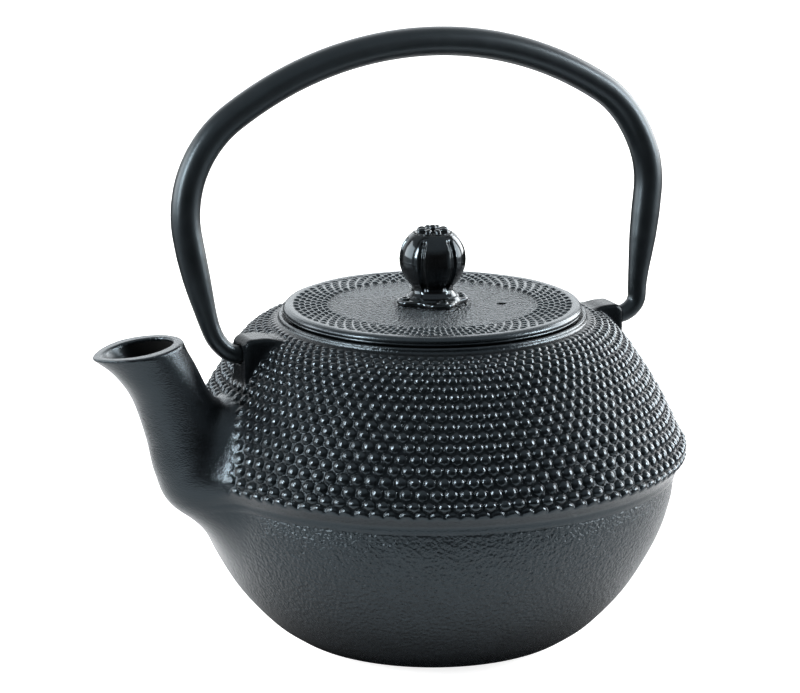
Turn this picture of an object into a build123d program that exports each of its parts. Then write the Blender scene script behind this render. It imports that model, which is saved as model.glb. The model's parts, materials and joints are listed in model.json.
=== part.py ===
from build123d import *
from math import cos, radians, sin, tan
import os

# Cast-iron teapot with a bail handle, a drop-in steel infuser and a lift-off lid.
# Millimetres. Origin: centre of the flat foot, on the axis of the bowl. +Z up, spout towards -X.
# The bail swings about a line parallel to X that runs through both lugs.

# Pot: one iron casting, in four nodes that meet face to face
BELT_BOTTOM = 42.0  # between bowl_lower and bowl_belt, below the spout's root
BELT_TOP = 62.0  # between bowl_belt and bowl_upper, above the ridge
FOOT_RADIUS = 34.0
RIDGE_RADIUS = 78.9  # lower edge of the plain band round the belly
RIDGE_HEIGHT = 58.0
BELLY_RADIUS = 82.5
BELLY_HEIGHT = 66.0
COLLAR_RADIUS = 52.5  # plain ring round the mouth
COLLAR_FOOT_HEIGHT = 107.8
RIM_HEIGHT = 110.0  # the lid lies on this plane
WALL = 4.0
FLOOR = 4.5
THROAT_RADIUS = 40.5
LEDGE_RADIUS = 44.2  # recess that takes the infuser's flange
LEDGE_HEIGHT = 106.5

# Lugs and bail
PIVOT_HEIGHT = 102.5
LUG_FACE = 67.0
LUG_RADIUS = 6.0
LUG_DEPTH = 12.0
PIN_RADIUS = 2.1
PIN_LENGTH = 7.0
PIN_CLEARANCE = 0.08
BAR_RADIUS = 4.75
TAIL_RADIUS = 3.0
CROWN_RADIUS = 122.0
CROWN_TOP = 95.7  # centre of the bar above the pivot
CROWN_HALF_ANGLE = 33.0
SHOULDER_RADIUS = 35.0
LEG_TILT = 10.6
TAPER_START = 28.5  # above the pivot
TAPER_END = 10.5
TAIL_BEND_RADIUS = 8.0
BAIL_LEAN = 5.0  # the bail stands leaning this far towards +Y

# Lid and knob
LID_RADIUS = 48.8
LID_THICKNESS = 3.0
SKIRT_RADIUS = 37.8
SKIRT_WALL = 2.8
SKIRT_DEPTH = 6.0
PANEL_RADIUS = 45.2  # sunk field inside the lid's plain rim
PANEL_DEPTH = 0.4
VENT_RADIUS = 1.2
VENT_OFFSET = 22.5
VENT_TURN = -24.0
SEAT_RADIUS = 12.2
SEAT_THICKNESS = 2.6
SEAT_SIDES = 8
NECK_RADIUS = 6.9
BALL_RADIUS = 10.8
BALL_CENTRE = 14.9  # above the lid's top face
KNOB_TOP = 24.0  # above the lid's top face
FLOWER_RADIUS = 6.0
FLOWER_HEIGHT = 2.7
FLUTES = 6
FLUTE_RADIUS = 1.2
SCREW_RADIUS = 2.0
SCREW_CLEARANCE = 0.05
SCREW_REACH = 13.0  # into the seat and the ball
HEAD_RADIUS = 4.2
HEAD_THICKNESS = 2.2
WASHER_RADIUS = 6.0
WASHER_THICKNESS = 1.0

# Infuser
FLANGE_RADIUS = 43.6
FLANGE_THICKNESS = 0.6
BASKET_RADIUS = 39.6
BAND_DEPTH = 10.0
SHEET = 0.5
MESH = 0.4
BASKET_FLOOR = 64.0
BASE_RING_HEIGHT = 5.0
BASE_LIP = 5.0
SEAM_GAP = 0.05

LID_TOP = RIM_HEIGHT + LID_THICKNESS


def profile_point(radius, height):
    return (radius, 0, height)


def turned(outline):
    """Solid turned about Z from a closed outline in the XZ plane."""
    return revolve(make_face(outline), Axis.Z)


def disc(radius, bottom, top):
    return Pos(0, 0, bottom) * extrude(Circle(radius), top - bottom)


def ring(outer, inner, bottom, top):
    return disc(outer, bottom, top) - disc(inner, bottom, top)


def bowl_outside():
    lower = Spline(
        profile_point(FOOT_RADIUS, 0),
        profile_point(47.8, 5.0),
        profile_point(63.6, 20.0),
        profile_point(74.9, 40.0),
        profile_point(RIDGE_RADIUS - 0.4, RIDGE_HEIGHT),
    )
    ridge = Line(lower @ 1, profile_point(RIDGE_RADIUS, RIDGE_HEIGHT + 0.3))
    band = ThreePointArc(ridge @ 1, profile_point(81.6, 62.0), profile_point(BELLY_RADIUS, BELLY_HEIGHT))
    shoulder = Spline(
        band @ 1,
        profile_point(76.3, 80.0),
        profile_point(64.3, 100.0),
        profile_point(COLLAR_RADIUS, COLLAR_FOOT_HEIGHT),
    )
    collar = Polyline(
        shoulder @ 1,
        profile_point(COLLAR_RADIUS - 0.3, RIM_HEIGHT - 1.0),
        profile_point(COLLAR_RADIUS - 5.0, RIM_HEIGHT),
        profile_point(0, RIM_HEIGHT),
        profile_point(0, 0),
        profile_point(FOOT_RADIUS, 0),
    )
    return turned(lower + ridge + band + shoulder + collar)


def bowl_inside():
    floor = Line(profile_point(0, FLOOR), profile_point(FOOT_RADIUS - 4.0, FLOOR))
    lower = Spline(
        floor @ 1,
        profile_point(44.5, 9.0),
        profile_point(58.6, 22.5),
        profile_point(69.5, 42.0),
        profile_point(BELLY_RADIUS - WALL, BELLY_HEIGHT),
    )
    shoulder = Spline(
        lower @ 1,
        profile_point(72.3, 79.0),
        profile_point(60.8, 97.5),
        profile_point(THROAT_RADIUS + 4.0, 103.0),
    )
    throat = Polyline(
        shoulder @ 1,
        profile_point(THROAT_RADIUS, 103.5),
        profile_point(THROAT_RADIUS, LEDGE_HEIGHT),
        profile_point(LEDGE_RADIUS, LEDGE_HEIGHT),
        profile_point(LEDGE_RADIUS, RIM_HEIGHT + 1.0),
        profile_point(0, RIM_HEIGHT + 1.0),
        profile_point(0, FLOOR),
    )
    return turned(floor + lower + shoulder + throat)


def spout_section(x, z, half_length, half_width, tilt):
    """Ellipse across the spout; tilt turns its plane about Y, so that its inner edge rises."""
    return Pos(x, 0, z) * Rot(0, -tilt, 0) * Ellipse(half_length, half_width)


def spout_outside():
    return loft([
        spout_section(-66.0, 58.0, 17.0, 18.0, 54),
        spout_section(-77.5, 67.5, 17.0, 16.5, 46),
        spout_section(-84.3, 75.2, 14.4, 13.8, 41),
        spout_section(-88.7, 84.9, 12.2, 12.8, 35),
        spout_section(-94.0, 97.2, 10.9, 12.8, 27),
        spout_section(-103.4, 107.8, 15.4, 14.0, 3),
    ])


def spout_channel():
    return loft([
        spout_section(-62.0, 52.0, 11.0, 11.0, 50),
        spout_section(-82.0, 74.0, 10.0, 9.5, 41),
        spout_section(-88.2, 85.1, 8.0, 8.8, 35),
        spout_section(-93.8, 97.4, 7.2, 8.8, 27),
        spout_section(-103.4, 108.6, 11.2, 9.6, 3),
    ])


def lug(side):
    """Domed ear on the shoulder with a blind hole for the bail's pin."""
    into_shoulder = Plane(origin=(side * LUG_FACE, 0, PIVOT_HEIGHT), x_dir=(0, 1, 0), z_dir=(-side, 0, 0))
    ear = extrude(into_shoulder * Circle(LUG_RADIUS), LUG_DEPTH)
    web_height = 14.0
    web = Pos(side * (LUG_FACE - LUG_DEPTH / 2), 0, PIVOT_HEIGHT - web_height / 2) * Box(
        LUG_DEPTH, 2 * LUG_RADIUS, web_height
    )
    return ear + web


def lug_hole(side):
    into_shoulder = Plane(origin=(side * (LUG_FACE + 1), 0, PIVOT_HEIGHT), z_dir=(-side, 0, 0))
    return extrude(into_shoulder * Circle(PIN_RADIUS + PIN_CLEARANCE), PIN_LENGTH + 2)


def bowl_casting():
    outside = bowl_outside() + lug(-1) + lug(1)
    return outside - bowl_inside() - spout_channel() - lug_hole(-1) - lug_hole(1)


def bowl_lower():
    """Foot and lower bowl."""
    return split(bowl_casting(), Plane.XY.offset(BELT_BOTTOM), keep=Keep.BOTTOM)


def bowl_belt():
    """Belly with its ridge and the lower half of the plain band."""
    above = split(bowl_casting(), Plane.XY.offset(BELT_BOTTOM), keep=Keep.TOP)
    return split(above, Plane.XY.offset(BELT_TOP), keep=Keep.BOTTOM)


def bowl_upper():
    """Hobnailed shoulder, lugs and mouth."""
    return split(bowl_casting(), Plane.XY.offset(BELT_TOP), keep=Keep.TOP)


def spout():
    """Spout, from the outside of the bowl's wall to its lip."""
    return spout_outside() - bowl_outside() - spout_channel()


def bail_half():
    """Half of the bail on the +X side, standing straight up, with Z measured from the pivot."""
    half_angle = radians(CROWN_HALF_ANGLE)
    tilt = radians(LEG_TILT)
    crown_centre = CROWN_TOP - CROWN_RADIUS
    inset = CROWN_RADIUS - SHOULDER_RADIUS
    shoulder_centre = (inset * sin(half_angle), crown_centre + inset * cos(half_angle))

    def crown_point(angle):
        return (CROWN_RADIUS * sin(angle), 0, crown_centre + CROWN_RADIUS * cos(angle))

    def shoulder_point(angle):
        return (
            shoulder_centre[0] + SHOULDER_RADIUS * sin(angle),
            0,
            shoulder_centre[1] + SHOULDER_RADIUS * cos(angle),
        )

    leg_top = shoulder_point(radians(90) + tilt)

    def leg_point(height):
        return (leg_top[0] - (leg_top[2] - height) * tan(tilt), 0, height)

    bend_reach = TAIL_BEND_RADIUS * tan((radians(90) - tilt) / 2)
    corner = leg_point(0)
    bend_start = (corner[0] + bend_reach * sin(tilt), 0, bend_reach * cos(tilt))
    bend_end = (corner[0] - bend_reach, 0, 0)

    crown = ThreePointArc(crown_point(0), crown_point(half_angle / 2), crown_point(half_angle))
    shoulder = ThreePointArc(
        crown @ 1,
        shoulder_point((half_angle + radians(90) + tilt) / 2),
        leg_top,
    )
    straight = Line(leg_top, leg_point(TAPER_START))
    bar_path = crown + shoulder + straight
    bar = sweep(Plane(origin=bar_path @ 0, z_dir=bar_path % 0) * Circle(BAR_RADIUS), path=bar_path)

    leg_direction = (-sin(tilt), 0, -cos(tilt))
    taper = loft([
        Plane(origin=leg_point(TAPER_START), z_dir=leg_direction) * Circle(BAR_RADIUS),
        Plane(origin=leg_point(TAPER_END), z_dir=leg_direction) * Circle(TAIL_RADIUS),
    ])

    tail_line = Line(leg_point(TAPER_END), bend_start)
    bend = TangentArc(bend_start, bend_end, tangent=leg_direction)
    tail_path = tail_line + bend + Line(bend_end, (LUG_FACE + 0.4, 0, 0))
    tail = sweep(Plane(origin=tail_path @ 0, z_dir=tail_path % 0) * Circle(TAIL_RADIUS), path=tail_path)

    pin_plane = Plane(origin=(LUG_FACE + 0.4, 0, 0), z_dir=(-1, 0, 0))
    pin = extrude(pin_plane * Circle(PIN_RADIUS), PIN_LENGTH)
    return bar + taper + tail + pin


def handle():
    half = bail_half()
    upright = half + mirror(half, about=Plane.YZ)
    return Pos(0, 0, PIVOT_HEIGHT) * Rot(-BAIL_LEAN, 0, 0) * upright


def lid():
    plate = disc(LID_RADIUS, RIM_HEIGHT, LID_TOP)
    plate = fillet(plate.edges(), 1.2)
    skirt = ring(SKIRT_RADIUS, SKIRT_RADIUS - SKIRT_WALL, RIM_HEIGHT - SKIRT_DEPTH, RIM_HEIGHT + 0.5)
    panel = disc(PANEL_RADIUS, LID_TOP - PANEL_DEPTH, LID_TOP + 1)
    knob_pad = disc(SEAT_RADIUS, LID_TOP - PANEL_DEPTH - 0.5, LID_TOP)
    screw_hole = disc(SCREW_RADIUS + 0.3, RIM_HEIGHT - 1, LID_TOP + 1)
    vent = Rot(0, 0, VENT_TURN) * Pos(VENT_OFFSET, 0, 0) * disc(VENT_RADIUS, RIM_HEIGHT - 1, LID_TOP + 1)
    return plate + skirt - panel + knob_pad - screw_hole - vent


def knob_seat():
    """Eight-sided rosette under the knob."""
    plate = Pos(0, 0, LID_TOP) * extrude(RegularPolygon(SEAT_RADIUS, SEAT_SIDES), SEAT_THICKNESS)
    plate = fillet(plate.faces().sort_by(Axis.Z)[-1].edges(), 0.8)
    return plate - disc(SCREW_RADIUS + 0.3, LID_TOP - 1, LID_TOP + SEAT_THICKNESS + 1)


def flute_cutter():
    """Rod bent along the ball's side; it cuts one flute, from low on the ball to near its flat top."""
    reach = BALL_RADIUS + 0.6

    def side_point(elevation):
        return (reach * cos(radians(elevation)), 0, reach * sin(radians(elevation)))

    path = ThreePointArc(side_point(-48), side_point(0), side_point(52))
    return sweep(Plane(origin=path @ 0, z_dir=path % 0) * Circle(FLUTE_RADIUS), path=path)


def knob():
    """Fluted ball on a short neck; a low cone on its flat top holds the place of the flower."""
    bottom = LID_TOP + SEAT_THICKNESS
    top = LID_TOP + KNOB_TOP
    ball = Sphere(BALL_RADIUS)
    for index in range(FLUTES):
        ball -= Rot(0, 0, 360 / FLUTES * (index + 0.5)) * flute_cutter()
    body = Pos(0, 0, LID_TOP + BALL_CENTRE) * ball
    body -= disc(BALL_RADIUS + 1, top, top + BALL_RADIUS)
    body += disc(NECK_RADIUS, bottom, LID_TOP + BALL_CENTRE - 6.0)
    flower = Pos(0, 0, top + FLOWER_HEIGHT / 2) * Cone(FLOWER_RADIUS, FLOWER_RADIUS / 4, FLOWER_HEIGHT)
    screw_hole = disc(SCREW_RADIUS + SCREW_CLEARANCE, bottom - 1, LID_TOP + SCREW_REACH + 0.5)
    return body + flower - screw_hole


def knob_washer():
    return ring(WASHER_RADIUS, SCREW_RADIUS + 0.3, RIM_HEIGHT - WASHER_THICKNESS, RIM_HEIGHT)


def knob_screw():
    """Slotted pan-head screw that holds the knob and its seat on the lid."""
    head_top = RIM_HEIGHT - WASHER_THICKNESS
    head = disc(HEAD_RADIUS, head_top - HEAD_THICKNESS, head_top)
    head = fillet(head.faces().sort_by(Axis.Z)[0].edges(), 1.0)
    shank = disc(SCREW_RADIUS, head_top - 0.5, LID_TOP + SCREW_REACH)
    slot = Pos(0, 0, head_top - HEAD_THICKNESS) * Box(3 * HEAD_RADIUS, 1.0, 2.0)
    return head + shank - slot


def infuser_collar():
    """Pressed steel rim: a flange that hangs on the ledge, and a plain band below it."""
    flange_top = LEDGE_HEIGHT + FLANGE_THICKNESS
    flange = ring(FLANGE_RADIUS, BASKET_RADIUS - SHEET, LEDGE_HEIGHT, flange_top)
    band = ring(BASKET_RADIUS, BASKET_RADIUS - SHEET, LEDGE_HEIGHT - BAND_DEPTH, flange_top)
    lip = ring(FLANGE_RADIUS, FLANGE_RADIUS - SHEET, LEDGE_HEIGHT, flange_top + 1.2)
    return flange + band + lip


def infuser_mesh_wall():
    outer = BASKET_RADIUS - SHEET - SEAM_GAP
    top = LEDGE_HEIGHT - BAND_DEPTH + 4.0
    return ring(outer, outer - MESH, BASKET_FLOOR + SHEET + MESH + 2 * SEAM_GAP, top)


def infuser_base_ring():
    """Pressed ring that grips the foot of the mesh wall and the edge of the mesh floor."""
    side = ring(BASKET_RADIUS, BASKET_RADIUS - SHEET, BASKET_FLOOR, BASKET_FLOOR + BASE_RING_HEIGHT)
    lip = ring(BASKET_RADIUS, BASKET_RADIUS - BASE_LIP, BASKET_FLOOR, BASKET_FLOOR + SHEET)
    return side + lip


def infuser_mesh_floor():
    radius = BASKET_RADIUS - SHEET - SEAM_GAP
    bottom = BASKET_FLOOR + SHEET + SEAM_GAP
    return disc(radius, bottom, bottom + MESH)


NODES = {
    "bowl_lower": bowl_lower,
    "bowl_belt": bowl_belt,
    "bowl_upper": bowl_upper,
    "spout": spout,
    "handle": handle,
    "lid": lid,
    "knob": knob,
    "knob_seat": knob_seat,
    "knob_washer": knob_washer,
    "knob_screw": knob_screw,
    "infuser_collar": infuser_collar,
    "infuser_mesh_wall": infuser_mesh_wall,
    "infuser_base_ring": infuser_base_ring,
    "infuser_mesh_floor": infuser_mesh_floor,
}

os.makedirs("parts", exist_ok=True)
for name, make in NODES.items():
    export_step(make(), f"parts/{name}.step")
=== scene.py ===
import json
import math

import bpy
import numpy as np
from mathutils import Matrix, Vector


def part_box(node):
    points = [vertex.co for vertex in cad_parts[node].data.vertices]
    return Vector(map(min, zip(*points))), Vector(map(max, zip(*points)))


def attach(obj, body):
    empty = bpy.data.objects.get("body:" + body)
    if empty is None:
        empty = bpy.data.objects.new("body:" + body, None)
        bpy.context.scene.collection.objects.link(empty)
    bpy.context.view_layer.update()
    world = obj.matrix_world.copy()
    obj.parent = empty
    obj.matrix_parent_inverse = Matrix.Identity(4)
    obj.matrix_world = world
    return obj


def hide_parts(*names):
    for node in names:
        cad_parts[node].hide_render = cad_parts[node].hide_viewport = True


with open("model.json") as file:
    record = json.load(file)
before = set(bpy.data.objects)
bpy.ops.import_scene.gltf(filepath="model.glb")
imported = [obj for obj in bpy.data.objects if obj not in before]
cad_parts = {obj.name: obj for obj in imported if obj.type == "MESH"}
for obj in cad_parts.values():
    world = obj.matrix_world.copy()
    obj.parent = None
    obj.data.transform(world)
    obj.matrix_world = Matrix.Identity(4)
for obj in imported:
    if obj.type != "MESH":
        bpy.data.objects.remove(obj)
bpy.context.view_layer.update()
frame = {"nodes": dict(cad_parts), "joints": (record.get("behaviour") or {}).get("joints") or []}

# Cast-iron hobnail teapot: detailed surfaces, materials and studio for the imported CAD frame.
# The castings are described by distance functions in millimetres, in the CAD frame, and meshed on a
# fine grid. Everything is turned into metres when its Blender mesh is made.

MM = 0.001


def box_mm(node):
    low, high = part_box(node)
    return np.array(low) / MM, np.array(high) / MM


def quick_or(full):
    return full


def add_object(name, data):
    """Object that shows a mesh, light or camera, linked into the scene."""
    holder = bpy.data.objects.new(name, data)
    bpy.context.scene.collection.objects.link(holder)
    return holder


# ---- places read from the frame
BOWL_NODES = ("bowl_lower", "bowl_belt", "bowl_upper", "spout")
LID_LOW, LID_HIGH = box_mm("lid")
SEAT_LOW, SEAT_HIGH = box_mm("knob_seat")
KNOB_LOW, KNOB_HIGH = box_mm("knob")
RIM_Z = box_mm("bowl_upper")[1][2]
LID_TOP = LID_HIGH[2]
BAIL_JOINT = next(j for j in frame["joints"] if j["name"] == "bail_swing")
PIVOT_Z = BAIL_JOINT["pos_m"][2] / MM


# ---- small mathematics
def smoothstep(low, high, value):
    t = np.clip((value - low) / (high - low), 0, 1)
    return t * t * (3 - 2 * t)


def smooth_min(a, b, blend):
    overlap = np.maximum(blend - np.abs(a - b), 0) / blend
    return np.minimum(a, b) - overlap * overlap * blend / 4


def smooth_max(a, b, blend):
    return -smooth_min(-a, -b, blend)


def through(points, steps=14):
    """Smooth open curve through the points (Catmull-Rom)."""
    p = np.array(points, float)
    p = np.vstack([2 * p[0] - p[1], p, 2 * p[-1] - p[-2]])
    t = np.linspace(0, 1, steps, endpoint=False)[:, None]
    pieces = []
    for a, b, c, d in zip(p, p[1:], p[2:], p[3:]):
        square = 2 * a - 5 * b + 4 * c - d
        cube = 3 * b - a - 3 * c + d
        pieces.append(0.5 * (2 * b + (c - a) * t + square * t**2 + cube * t**3))
    return np.vstack(pieces + [p[-2:-1]])


class Table:
    """Values on a square grid over two coordinates, read back by bilinear interpolation."""

    def __init__(self, low, high, step, values):
        self.low = np.array(low, float)
        self.step = step
        self.counts = np.ceil((np.array(high) - self.low) / step).astype(int) + 1
        axes = [low + step * np.arange(n) for low, n in zip(self.low, self.counts)]
        u, v = np.meshgrid(*axes, indexing="ij")
        self.values = values(u.ravel(), v.ravel()).reshape(self.counts[0], self.counts[1], -1)

    def __call__(self, u, v):
        gu = np.clip((u - self.low[0]) / self.step, 0, self.counts[0] - 1.001)
        gv = np.clip((v - self.low[1]) / self.step, 0, self.counts[1] - 1.001)
        iu = gu.astype(int)
        iv = gv.astype(int)
        fu = (gu - iu)[:, None]
        fv = (gv - iv)[:, None]
        t = self.values
        near = t[iu, iv] * (1 - fv) + t[iu, iv + 1] * fv
        far = t[iu + 1, iv] * (1 - fv) + t[iu + 1, iv + 1] * fv
        return near * (1 - fu) + far * fu


def outline_distance(outline):
    """Signed distance to a closed outline of (radius, height) points, as a function of both."""
    start = np.array(outline, float)
    end = np.roll(start, -1, axis=0)

    def distance(u, v):
        best = np.full(u.shape, 1e9)
        inside = np.zeros(u.shape, bool)
        for (ax, ay), (bx, by) in zip(start, end):
            dx, dy = bx - ax, by - ay
            length = dx * dx + dy * dy
            if length < 1e-12:
                continue
            t = np.clip(((u - ax) * dx + (v - ay) * dy) / length, 0, 1)
            best = np.minimum(best, (u - ax - t * dx) ** 2 + (v - ay - t * dy) ** 2)
            if ay != by:
                crosses = (ay > v) != (by > v)
                inside ^= crosses & (u < ax + (v - ay) * dx / (by - ay))
        return np.where(inside, -1, 1) * np.sqrt(best)

    return distance


def turned(outline, step=0.3, margin=12.0):
    """Distance to the solid made by turning an outline about Z. The outline is closed along the axis."""
    points = np.array(outline, float)
    mirrored = np.vstack([points, points[::-1] * [-1, 1]])
    low = [0, points[:, 1].min() - margin]
    high = [points[:, 0].max() + margin, points[:, 1].max() + margin]
    table = Table(low, high, step, outline_distance(mirrored))
    return lambda p: table(np.hypot(p[:, 0], p[:, 1]), p[:, 2])[:, 0]


# ---- meshing
CORNERS = np.array([(i, j, k) for i in (0, 1) for j in (0, 1) for k in (0, 1)])
EDGES = [(a, b) for a in range(8) for b in range(a + 1, 8) if np.abs(CORNERS[a] - CORNERS[b]).sum() == 1]
CELLS = 8  # grid cells along a block's side


def cell_sheets():
    """For each of the 256 ways that a cell's corners can lie, the sheet that each edge is on.

    Two crossed edges of one face are on the same sheet. Where a face has four crossed edges, each
    inside corner keeps its own two. A sheet that closes on itself gets one vertex.
    """
    faces = []
    for axis in range(3):
        for side in (0, 1):
            faces.append(set(np.flatnonzero(CORNERS[:, axis] == side)))
    table = np.full((256, 12), -1)
    for case in range(256):
        inside = [bool(case >> c & 1) for c in range(8)]
        crossed = [e for e, (a, b) in enumerate(EDGES) if inside[a] != inside[b]]
        group = {e: e for e in crossed}
        for face in faces:
            here = [e for e in crossed if set(EDGES[e]) <= face]
            for e in here:
                for f in here:
                    shared = set(EDGES[e]) & set(EDGES[f])
                    together = len(here) == 2 or any(inside[c] for c in shared)
                    if e < f and together and group[e] != group[f]:
                        old, new = group[f], group[e]
                        group = {k: new if g == old else g for k, g in group.items()}
        names = sorted(set(group.values()))
        for e, g in group.items():
            table[case, e] = names.index(g)
    return table


SHEETS = cell_sheets()


def near_blocks(distance, low, high, side):
    """Lowest corners, counted in blocks, of the blocks that the surface may cross."""
    counts = np.ceil((high - low) / side).astype(int)
    index = np.stack(np.meshgrid(*[np.arange(n) for n in counts], indexing="ij"), -1).reshape(-1, 3)
    away = np.abs(distance(low + (index + 0.5) * side))
    return index[away < side * 1.25]


def active_cells(distance, low, voxel, blocks):
    """Cells that the surface crosses, with the distance at their eight corners."""
    lattice = np.stack(np.meshgrid(*[np.arange(CELLS + 1)] * 3, indexing="ij"), -1).reshape(-1, 3)
    found_cells = []
    found_values = []
    batch = 400
    for first in range(0, len(blocks), batch):
        some = blocks[first:first + batch]
        corner = some[:, None, :] * CELLS + lattice[None]
        value = distance(low + corner.reshape(-1, 3) * voxel)
        value = value.reshape((len(some),) + (CELLS + 1,) * 3)
        cube = np.stack([value[:, i:i + CELLS, j:j + CELLS, k:k + CELLS] for i, j, k in CORNERS], -1)
        inside = (cube < 0).sum(-1)
        where = np.nonzero((inside > 0) & (inside < 8))
        found_cells.append(some[where[0]] * CELLS + np.stack(where[1:], -1))
        found_values.append(cube[where])
    return np.vstack(found_cells), np.vstack(found_values)


def surface_mesh(distance, low, high, voxel, settle=2):
    """Closed quad mesh of the surface where distance(points) is zero: dual marching cubes."""
    low = np.array(low, float) - 1.37 * voxel
    high = np.array(high, float) + 2 * voxel
    blocks = near_blocks(distance, low, high, CELLS * voxel)
    cells, values = active_cells(distance, low, voxel, blocks)
    span = (blocks.max(0) + 2) * CELLS

    def key(c):
        return (c[..., 0] * span[1] + c[..., 1]) * span[2] + c[..., 2]

    order = np.argsort(key(cells))
    cells = cells[order]
    values = values[order]
    keys = key(cells)
    sheet = SHEETS[((values < 0) << np.arange(8)).sum(1)]
    sheets = sheet.max(1) + 1
    first_vertex = np.cumsum(sheets) - sheets

    total = np.zeros((sheets.sum(), 3))
    crossings = np.zeros(len(total))
    for e, (a, b) in enumerate(EDGES):
        crossed = np.flatnonzero(sheet[:, e] >= 0)
        vertex = first_vertex[crossed] + sheet[crossed, e]
        t = values[crossed, a] / (values[crossed, a] - values[crossed, b])
        total[vertex] += cells[crossed] + CORNERS[a] + t[:, None] * (CORNERS[b] - CORNERS[a])
        crossings[vertex] += 1
    points = low + total / crossings[:, None] * voxel

    faces = []
    steps = np.eye(3, dtype=int)
    for axis in range(3):
        one, two = steps[(axis + 1) % 3], steps[(axis + 2) % 3]

        def edge_from(start):
            ends = [int(np.flatnonzero((CORNERS == c).all(1))[0]) for c in (start, start + steps[axis])]
            return EDGES.index(tuple(ends))

        crossed = np.flatnonzero(sheet[:, edge_from(0 * one)] >= 0)
        quad = []
        for back in (0 * one, one, one + two, two):
            cell = np.searchsorted(keys, key(cells[crossed] - back))
            quad.append(first_vertex[cell] + sheet[cell, edge_from(back)])
        quad = np.stack(quad, -1)
        outward = values[crossed, 0] < 0
        quad[~outward] = quad[~outward][:, ::-1]
        faces.append(quad)
    faces = np.vstack(faces)

    reach = 0.05
    for _ in range(settle):
        here = distance(points)
        slope = np.stack([distance(points + reach * steps[i]) - here for i in range(3)], -1) / reach
        move = -here[:, None] * slope / np.maximum((slope**2).sum(1), 0.2)[:, None]
        size = np.linalg.norm(move, axis=1, keepdims=True)
        points += move * np.minimum(1, 0.6 * voxel / np.maximum(size, 1e-9))
    return points, faces


def slope_normals(distance, points, reach=0.06):
    """Unit outward normals of the surface, from the slope of its distance function."""
    steps = np.eye(3) * reach
    slope = np.stack([distance(points + s) - distance(points - s) for s in steps], -1)
    return slope / np.maximum(np.linalg.norm(slope, axis=1, keepdims=True), 1e-9)


def cast_piece(name, distance, low, high, voxel, body, nodes):
    """Mesh a distance function as one closed piece that stands for the named CAD nodes."""
    points, faces = surface_mesh(distance, low, high, voxel)
    mesh = bpy.data.meshes.new(name)
    mesh.vertices.add(len(points))
    mesh.vertices.foreach_set("co", (points * MM).ravel())
    mesh.loops.add(4 * len(faces))
    mesh.loops.foreach_set("vertex_index", faces.ravel())
    mesh.polygons.add(len(faces))
    mesh.polygons.foreach_set("loop_start", np.arange(0, 4 * len(faces), 4))
    mesh.update(calc_edges=True)
    mesh.polygons.foreach_set("use_smooth", np.ones(len(faces), bool))
    mesh.normals_split_custom_set_from_vertices(slope_normals(distance, points).tolist())
    piece = add_object(name, mesh)
    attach(piece, body)
    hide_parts(*nodes)
    return piece, points, faces


def mark(piece, name, values):
    """Store one number per vertex for the material to read."""
    attribute = piece.data.attributes.new(name, "FLOAT", "POINT")
    attribute.data.foreach_set("value", np.asarray(values, np.float32))


# ---- bowl
LOWER_BOWL = [
    (34.0, 0.0), (42.9, 2.0), (48.6, 5.0), (55.2, 10.0), (64.3, 20.0),
    (70.7, 30.0), (75.6, 40.0), (78.6, 50.0), (79.4, 56.6),
]
RIDGE = [(79.8, 57.3), (80.15, 58.1), (80.25, 58.9)]
BAND = [(80.5, 59.8), (82.0, 61.7), (83.2, 63.3), (83.7, 65.0)]
SHOULDER = [
    (83.4, 67.0), (81.8, 70.0), (79.3, 75.0), (76.8, 80.0), (74.1, 85.0), (71.1, 90.0),
    (67.8, 95.0), (64.3, 100.0), (60.6, 104.0), (57.0, 106.3), (53.2, 107.6), (51.2, 108.0),
]
COLLAR = [
    (50.6, 108.3), (50.35, 108.8), (50.3, 109.4), (50.0, 109.8), (49.4, 109.9), (48.7, 109.6),
    (48.0, 109.1), (46.2, 109.0), (45.7, 109.3), (45.5, 110.0), (0.0, 110.0),
]
CAVITY = [
    (30.0, 4.5), (44.5, 9.0), (58.6, 22.5), (69.5, 42.0), (76.6, 56.0), (78.4, 66.0),
    (72.3, 79.0), (60.8, 97.5), (44.5, 103.0),
]
FLOOR_Z = CAVITY[0][1]
OPEN_TOP = 130.0  # the hollow is carried up past the rim to here
THROAT_R = 40.5
THROAT_Z = 103.5
LEDGE_R = 44.2
LEDGE_Z = 106.5
BEADS_ROUND = 108
BEAD_START_Z = 63.4
ROW_GAP = 0.82  # row spacing, in bead pitches
BEAD_WIDTH = 0.9  # bead diameter, in bead pitches
BEAD_RISE = 0.25  # bead height, in bead pitches

shoulder_line = through(LOWER_BOWL + RIDGE + BAND + SHOULDER)


def row_numbers(line):
    """Row coordinate of the beads along the bowl's side: 0 at the band, 1 at the next row, and so on."""
    run = np.concatenate([[0], np.cumsum(np.linalg.norm(np.diff(line, axis=0), axis=1))])
    start = np.interp(BEAD_START_Z, line[:, 1], run)
    fine = np.linspace(run[0], run[-1], 4000)
    radius = np.interp(fine, run, line[:, 0])
    rate = BEADS_ROUND / (2 * math.pi * radius * ROW_GAP)
    number = np.concatenate([[0], np.cumsum((rate[1:] + rate[:-1]) / 2 * np.diff(fine))])
    number -= np.interp(start, fine, number)
    return np.interp(run, fine, number)


shoulder_rows = row_numbers(shoulder_line)
ROWS = int(shoulder_rows[-1] - 0.35)


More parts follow.
